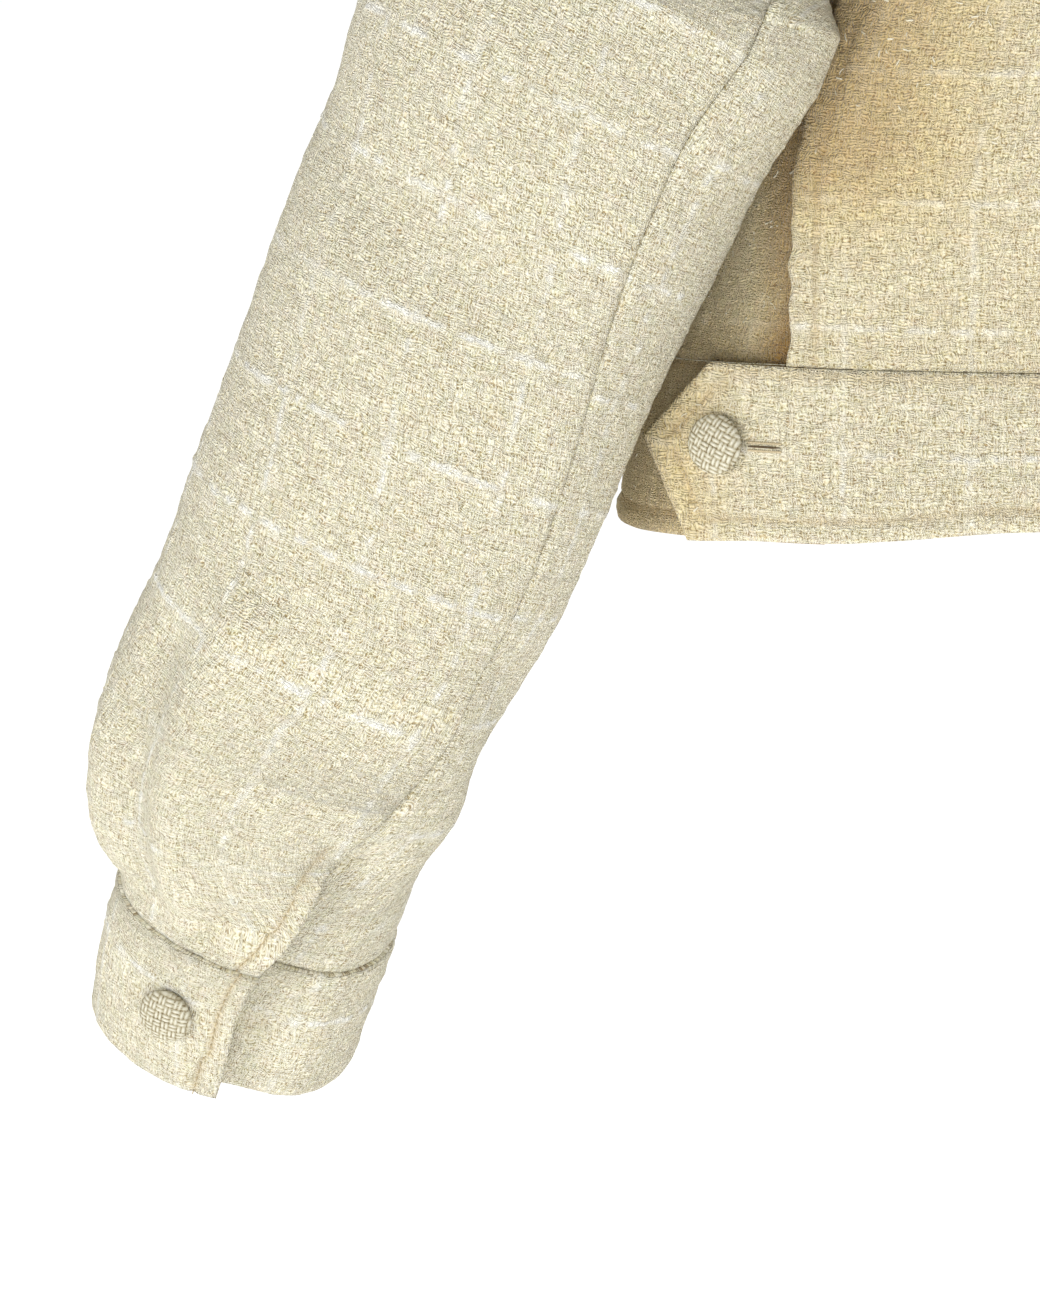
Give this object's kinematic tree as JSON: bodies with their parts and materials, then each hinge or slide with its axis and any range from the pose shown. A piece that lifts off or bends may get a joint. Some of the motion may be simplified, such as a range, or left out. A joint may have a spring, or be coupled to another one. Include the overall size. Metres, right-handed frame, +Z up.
{
  "type": "cropped tweed jacket",
  "caption": "Cropped cream tweed jacket with wide two-piece sleeves, lapped side openings closed by waistband tabs, and covered buttons.",
  "frame": {"origin": "middle of the neck hole, level with the top of the shoulders, where the hollow garment is held", "axes": "+X towards the wearer's right hand, +Y towards the wearer's front, +Z up"},
  "size_m": [0.8384, 0.2474, 0.6435],
  "materials": {
    "tweed": "matte nubby boucle tweed",
    "button_cloth": "matte basket weave"
  },
  "bodies": {
    "root": {"back": "tweed", "waistband_back": "tweed", "front_left": "tweed", "front_right": "tweed", "waistband_front_left": "tweed", "waistband_front_right": "tweed", "upper_sleeve_left": "tweed", "upper_sleeve_right": "tweed", "under_sleeve_left": "tweed", "under_sleeve_right": "tweed", "cuff_left": "tweed", "cuff_right": "tweed", "button_front_1": "button_cloth", "button_front_2": "button_cloth", "button_front_3": "button_cloth", "button_front_4": "button_cloth", "button_waistband": "button_cloth", "button_tab_left": "button_cloth", "button_tab_right": "button_cloth", "button_cuff_left": "button_cloth", "button_cuff_right": "button_cloth"}
  },
  "joints": []
}
